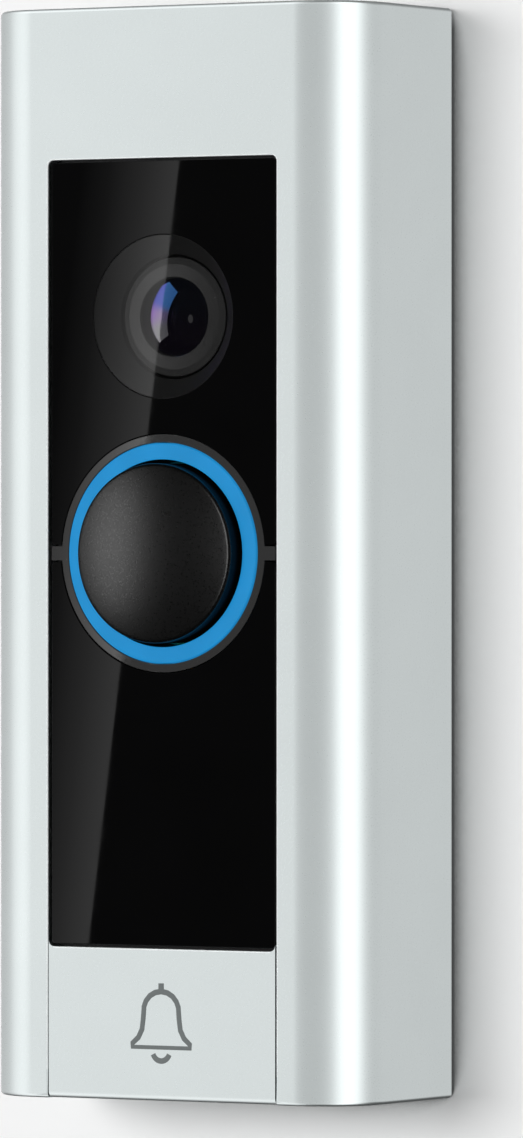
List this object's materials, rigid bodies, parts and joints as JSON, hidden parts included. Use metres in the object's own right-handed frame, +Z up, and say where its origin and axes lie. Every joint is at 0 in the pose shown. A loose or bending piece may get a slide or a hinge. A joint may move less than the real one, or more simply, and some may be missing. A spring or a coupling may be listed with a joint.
{
  "type": "video doorbell",
  "caption": "Slim wall-mounted video doorbell: U-shaped faceplate over a sealed core with camera, lit round push button, speaker, microphone and wiring terminals.",
  "frame": {"origin": "centre of the flat back face, on the wall plane, at the height of the push button's centre", "axes": "+X to the right of a visitor who faces the doorbell, +Y into the wall, +Z up"},
  "size_m": [0.0458, 0.0238, 0.1142],
  "materials": {
    "faceplate_paint": "satin",
    "black_plastic": "matte",
    "button_black": "matte",
    "window_gloss": "gloss",
    "smoked_cover": "gloss",
    "bezel_grey": "gloss",
    "blue_light_guide": "satin",
    "white_plastic": "satin",
    "orange_plastic": "satin",
    "silicone": "matte",
    "steel": "satin",
    "brass_plate": "satin",
    "circuit_board": "satin",
    "sensor_glass": "gloss",
    "lens_glass": "gloss",
    "amber_film": "satin",
    "blue_sleeve": "satin",
    "copper_wound_ferrite": "matte"
  },
  "bodies": {
    "core": {"front_housing": "black_plastic", "rear_housing": "black_plastic", "housing_gasket": "silicone", "upper_window": "window_gloss", "lower_window": "window_gloss", "camera_cover": "smoked_cover", "button_bezel": "bezel_grey", "light_guide": "blue_light_guide", "light_board": "circuit_board", "button_spring": "steel", "button_seal": "silicone", "button_switch": "steel", "camera_holder": "black_plastic", "infrared_board": "circuit_board", "light_block": "silicone", "lens_bezel": "bezel_grey", "lens_barrel": "black_plastic", "front_lens": "lens_glass", "rear_lens": "lens_glass", "image_sensor": "sensor_glass", "camera_board": "circuit_board", "camera_flex_cable": "amber_film", "button_flex_cable": "amber_film", "microphone_flex_cable": "amber_film", "main_board": "circuit_board", "processor_shield": "steel", "wifi_module": "steel", "antenna": "brass_plate", "power_inductor": "copper_wound_ferrite", "capacitor_left": "blue_sleeve", "capacitor_right": "blue_sleeve", "speaker_frame": "black_plastic", "speaker_magnet": "steel", "speaker_cone": "black_plastic", "speaker_gasket": "silicone", "microphone": "steel", "microphone_boot": "silicone", "setup_switch": "bezel_grey", "usb_socket": "steel", "terminal_plate_left": "brass_plate", "terminal_plate_right": "brass_plate", "case_screw_1": "steel", "case_screw_2": "steel", "case_screw_3": "steel", "case_screw_4": "steel"},
    "faceplate": {"faceplate_shell": "faceplate_paint", "badge_panel": "faceplate_paint"},
    "security_screw": {"security_screw": "steel"},
    "button": {"button_cap": "button_black", "button_plunger": "white_plastic"},
    "setup_button": {"setup_button": "orange_plastic"},
    "terminal_screw_left": {"terminal_screw_left": "steel"},
    "terminal_screw_right": {"terminal_screw_right": "steel"}
  },
  "joints": [
    {"name": "faceplate_lift_off", "type": "slide", "parent": "core", "child": "faceplate", "axis": [0, -1, 0], "range_m": [0, 0.03]},
    {"name": "security_screw_out", "type": "slide", "parent": "faceplate", "child": "security_screw", "axis": [0, 0, -1], "range_m": [0, 0.006]},
    {"name": "button_press", "type": "slide", "parent": "core", "child": "button", "axis": [0, 1, 0], "range_m": [0, 0.0008], "stiffness_N_per_m": 2500, "deforming": ["button_spring"]},
    {"name": "setup_button_press", "type": "slide", "parent": "core", "child": "setup_button", "axis": [-1, 0, 0], "range_m": [0, 0.0005], "stiffness_N_per_m": 3000},
    {"name": "terminal_screw_left_out", "type": "slide", "parent": "core", "child": "terminal_screw_left", "axis": [0, 1, 0], "range_m": [0, 0.002]},
    {"name": "terminal_screw_right_out", "type": "slide", "parent": "core", "child": "terminal_screw_right", "axis": [0, 1, 0], "range_m": [0, 0.002]}
  ]
}
